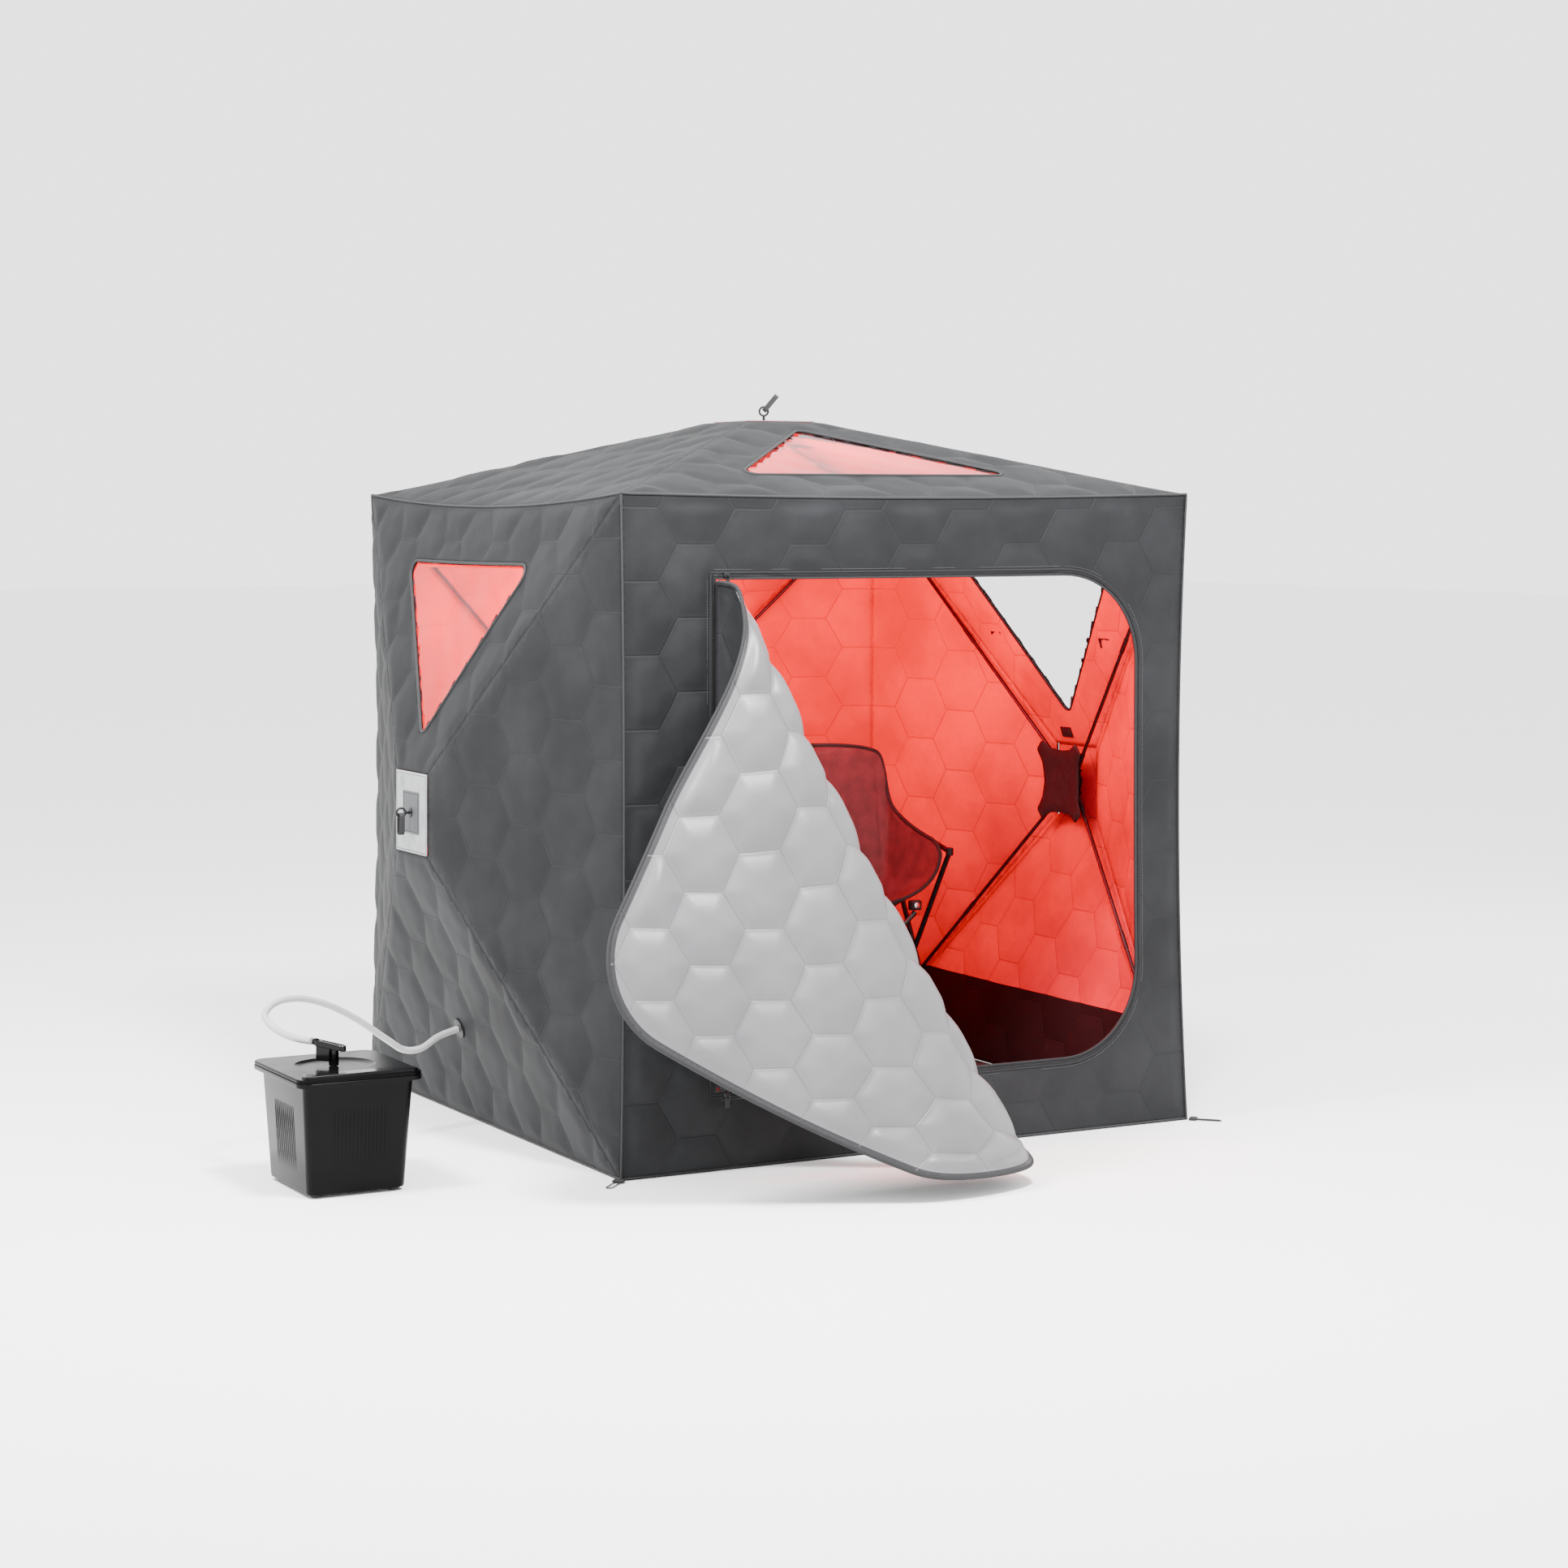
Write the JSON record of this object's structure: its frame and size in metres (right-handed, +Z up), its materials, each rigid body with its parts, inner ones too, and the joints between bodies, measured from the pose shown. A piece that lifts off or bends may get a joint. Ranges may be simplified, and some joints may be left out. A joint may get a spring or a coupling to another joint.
{
  "type": "portable_steam_sauna",
  "caption": "Square hub-frame steam sauna tent, quilted grey walls, door flap hanging open, with a camp chair inside, a black steam pot and a pale hose at its side.",
  "frame": {"origin": "the middle of the tent floor, on the ground, at the ground_face mount", "axes": "X along the front wall to the right, Y to the back, Z up"},
  "size_m": [2.911, 2.7022, 2.1019],
  "materials": {
    "shell_fabric": "matte",
    "floor_fabric": "matte",
    "window_vinyl": "gloss",
    "zip_black": "satin",
    "webbing": "matte",
    "door_lining": "satin",
    "hub_plastic": "satin",
    "silver_patch": "satin",
    "rod_black": "satin",
    "pot_gloss": "gloss",
    "foot_rubber": "matte",
    "heater_steel": "satin",
    "inlet_plastic": "matte",
    "hose_white": "satin",
    "chair_cloth": "matte",
    "chair_tube": "satin"
  },
  "bodies": {
    "tent": {"floor_mat": "floor_fabric", "front_wall": "shell_fabric", "left_wall": "shell_fabric", "right_wall": "shell_fabric", "back_wall": "shell_fabric", "roof": "shell_fabric", "left_window": "window_vinyl", "right_window": "window_vinyl", "roof_window": "window_vinyl", "zip_track": "zip_black", "corner_pockets": "webbing", "ground_loops": "webbing", "hose_port": "zip_black", "window_tabs": "webbing", "steam_tank": "pot_gloss", "tank_feet": "foot_rubber", "heater": "heater_steel", "power_inlet": "inlet_plastic", "steam_hose": "hose_white", "chair_sling": "chair_cloth", "chair_frame": "chair_tube", "chair_brackets": "chair_tube", "chair_feet": "foot_rubber"},
    "door": {"door_leaf": "door_lining"},
    "top_slider": {"slider_top": "zip_black"},
    "top_pull": {"pull_top": "zip_black"},
    "bottom_slider": {"slider_bottom": "zip_black"},
    "bottom_pull": {"pull_bottom": "zip_black"},
    "pot_lid": {"steam_lid": "pot_gloss", "steam_spout": "pot_gloss"},
    "left_frame_hub": {"left_hub": "hub_plastic", "left_hub_patch": "silver_patch", "left_hub_strap": "webbing"},
    "left_rod_1": {"left_pole_1": "rod_black"},
    "left_rod_2": {"left_pole_2": "rod_black"},
    "left_rod_3": {"left_pole_3": "rod_black"},
    "left_rod_4": {"left_pole_4": "rod_black"},
    "right_frame_hub": {"right_hub": "hub_plastic", "right_hub_patch": "silver_patch", "right_hub_strap": "webbing"},
    "right_rod_1": {"right_pole_1": "rod_black"},
    "right_rod_2": {"right_pole_2": "rod_black"},
    "right_rod_3": {"right_pole_3": "rod_black"},
    "right_rod_4": {"right_pole_4": "rod_black"},
    "back_frame_hub": {"back_hub": "hub_plastic", "back_hub_patch": "silver_patch", "back_hub_strap": "webbing"},
    "back_rod_1": {"back_pole_1": "rod_black"},
    "back_rod_2": {"back_pole_2": "rod_black"},
    "back_rod_3": {"back_pole_3": "rod_black"},
    "back_rod_4": {"back_pole_4": "rod_black"},
    "roof_frame_hub": {"roof_hub": "hub_plastic", "roof_hub_patch": "silver_patch", "roof_hub_strap": "webbing"},
    "roof_rod_1": {"roof_pole_1": "rod_black"},
    "roof_rod_2": {"roof_pole_2": "rod_black"},
    "roof_rod_3": {"roof_pole_3": "rod_black"},
    "roof_rod_4": {"roof_pole_4": "rod_black"}
  },
  "joints": [
    {"name": "door_swing", "type": "hinge", "parent": "tent", "child": "door", "pos_m": [-0.625, -0.907, 0.89], "axis": [0, 0, 1], "range_deg": [-20, 12]},
    {"name": "top_slider_run", "type": "slide", "parent": "tent", "child": "top_slider", "axis": [1, 0, 0], "range_m": [0, 1.05]},
    {"name": "top_pull_lift", "type": "hinge", "parent": "top_slider", "child": "top_pull", "pos_m": [-0.592, -0.911, 1.583], "axis": [-1, 0, 0], "range_deg": [0, 60]},
    {"name": "bottom_slider_run", "type": "slide", "parent": "tent", "child": "bottom_slider", "axis": [1, 0, 0], "range_m": [0, 1.05]},
    {"name": "bottom_pull_lift", "type": "hinge", "parent": "bottom_slider", "child": "bottom_pull", "pos_m": [-0.592, -0.911, 0.202], "axis": [-1, 0, 0], "range_deg": [0, 60]},
    {"name": "lid_lift", "type": "slide", "parent": "tent", "child": "pot_lid", "axis": [0, 0, 1], "range_m": [0, 0.06], "deforming": ["steam_hose"]},
    {"name": "left_hub_push", "type": "slide", "parent": "tent", "child": "left_frame_hub", "axis": [-1, 0, 0], "range_m": [-0.4, 0]},
    {"name": "left_rod_1_fold", "type": "hinge", "parent": "left_frame_hub", "child": "left_rod_1", "pos_m": [-1.095, -0.03889, 0.93889], "axis": [0, -0.7071, -0.7071], "range_deg": [0, 20]},
    {"name": "left_rod_2_fold", "type": "hinge", "parent": "left_frame_hub", "child": "left_rod_2", "pos_m": [-1.095, 0.03889, 0.93889], "axis": [0, -0.7071, 0.7071], "range_deg": [0, 20]},
    {"name": "left_rod_3_fold", "type": "hinge", "parent": "left_frame_hub", "child": "left_rod_3", "pos_m": [-1.095, 0.03889, 0.86111], "axis": [0, 0.7071, 0.7071], "range_deg": [0, 20]},
    {"name": "left_rod_4_fold", "type": "hinge", "parent": "left_frame_hub", "child": "left_rod_4", "pos_m": [-1.095, -0.03889, 0.86111], "axis": [0, 0.7071, -0.7071], "range_deg": [0, 20]},
    {"name": "right_hub_push", "type": "slide", "parent": "tent", "child": "right_frame_hub", "axis": [1, 0, 0], "range_m": [-0.4, 0]},
    {"name": "right_rod_1_fold", "type": "hinge", "parent": "right_frame_hub", "child": "right_rod_1", "pos_m": [1.095, 0.03889, 0.93889], "axis": [0, 0.7071, -0.7071], "range_deg": [0, 20]},
    {"name": "right_rod_2_fold", "type": "hinge", "parent": "right_frame_hub", "child": "right_rod_2", "pos_m": [1.095, -0.03889, 0.93889], "axis": [0, 0.7071, 0.7071], "range_deg": [0, 20]},
    {"name": "right_rod_3_fold", "type": "hinge", "parent": "right_frame_hub", "child": "right_rod_3", "pos_m": [1.095, -0.03889, 0.86111], "axis": [0, -0.7071, 0.7071], "range_deg": [0, 20]},
    {"name": "right_rod_4_fold", "type": "hinge", "parent": "right_frame_hub", "child": "right_rod_4", "pos_m": [1.095, 0.03889, 0.86111], "axis": [0, -0.7071, -0.7071], "range_deg": [0, 20]},
    {"name": "back_hub_push", "type": "slide", "parent": "tent", "child": "back_frame_hub", "axis": [0, 1, 0], "range_m": [-0.4, 0]},
    {"name": "back_rod_1_fold", "type": "hinge", "parent": "back_frame_hub", "child": "back_rod_1", "pos_m": [-0.03889, 1.095, 0.93889], "axis": [-0.7071, 0, -0.7071], "range_deg": [0, 20]},
    {"name": "back_rod_2_fold", "type": "hinge", "parent": "back_frame_hub", "child": "back_rod_2", "pos_m": [0.03889, 1.095, 0.93889], "axis": [-0.7071, 0, 0.7071], "range_deg": [0, 20]},
    {"name": "back_rod_3_fold", "type": "hinge", "parent": "back_frame_hub", "child": "back_rod_3", "pos_m": [0.03889, 1.095, 0.86111], "axis": [0.7071, 0, 0.7071], "range_deg": [0, 20]},
    {"name": "back_rod_4_fold", "type": "hinge", "parent": "back_frame_hub", "child": "back_rod_4", "pos_m": [-0.03889, 1.095, 0.86111], "axis": [0.7071, 0, -0.7071], "range_deg": [0, 20]},
    {"name": "roof_hub_push", "type": "slide", "parent": "tent", "child": "roof_frame_hub", "axis": [0, 0, 1], "range_m": [-0.4, 0]},
    {"name": "roof_rod_1_fold", "type": "hinge", "parent": "roof_frame_hub", "child": "roof_rod_1", "pos_m": [0.03889, 0.03889, 1.985], "axis": [0.7071, -0.7071, 0], "range_deg": [0, 20]},
    {"name": "roof_rod_2_fold", "type": "hinge", "parent": "roof_frame_hub", "child": "roof_rod_2", "pos_m": [-0.03889, 0.03889, 1.985], "axis": [0.7071, 0.7071, 0], "range_deg": [0, 20]},
    {"name": "roof_rod_3_fold", "type": "hinge", "parent": "roof_frame_hub", "child": "roof_rod_3", "pos_m": [-0.03889, -0.03889, 1.985], "axis": [-0.7071, 0.7071, 0], "range_deg": [0, 20]},
    {"name": "roof_rod_4_fold", "type": "hinge", "parent": "roof_frame_hub", "child": "roof_rod_4", "pos_m": [0.03889, -0.03889, 1.985], "axis": [-0.7071, -0.7071, 0], "range_deg": [0, 20]}
  ],
  "couplings": [
    {"joint": "left_rod_1_fold", "follows": "left_hub_push", "rad_per_m": -0.863},
    {"joint": "left_rod_2_fold", "follows": "left_hub_push", "rad_per_m": -0.863},
    {"joint": "left_rod_3_fold", "follows": "left_hub_push", "rad_per_m": -0.863},
    {"joint": "left_rod_4_fold", "follows": "left_hub_push", "rad_per_m": -0.863},
    {"joint": "right_rod_1_fold", "follows": "right_hub_push", "rad_per_m": -0.863},
    {"joint": "right_rod_2_fold", "follows": "right_hub_push", "rad_per_m": -0.863},
    {"joint": "right_rod_3_fold", "follows": "right_hub_push", "rad_per_m": -0.863},
    {"joint": "right_rod_4_fold", "follows": "right_hub_push", "rad_per_m": -0.863},
    {"joint": "back_rod_1_fold", "follows": "back_hub_push", "rad_per_m": -0.863},
    {"joint": "back_rod_2_fold", "follows": "back_hub_push", "rad_per_m": -0.863},
    {"joint": "back_rod_3_fold", "follows": "back_hub_push", "rad_per_m": -0.863},
    {"joint": "back_rod_4_fold", "follows": "back_hub_push", "rad_per_m": -0.863},
    {"joint": "roof_rod_1_fold", "follows": "roof_hub_push", "rad_per_m": -0.863},
    {"joint": "roof_rod_2_fold", "follows": "roof_hub_push", "rad_per_m": -0.863},
    {"joint": "roof_rod_3_fold", "follows": "roof_hub_push", "rad_per_m": -0.863},
    {"joint": "roof_rod_4_fold", "follows": "roof_hub_push", "rad_per_m": -0.863}
  ]
}
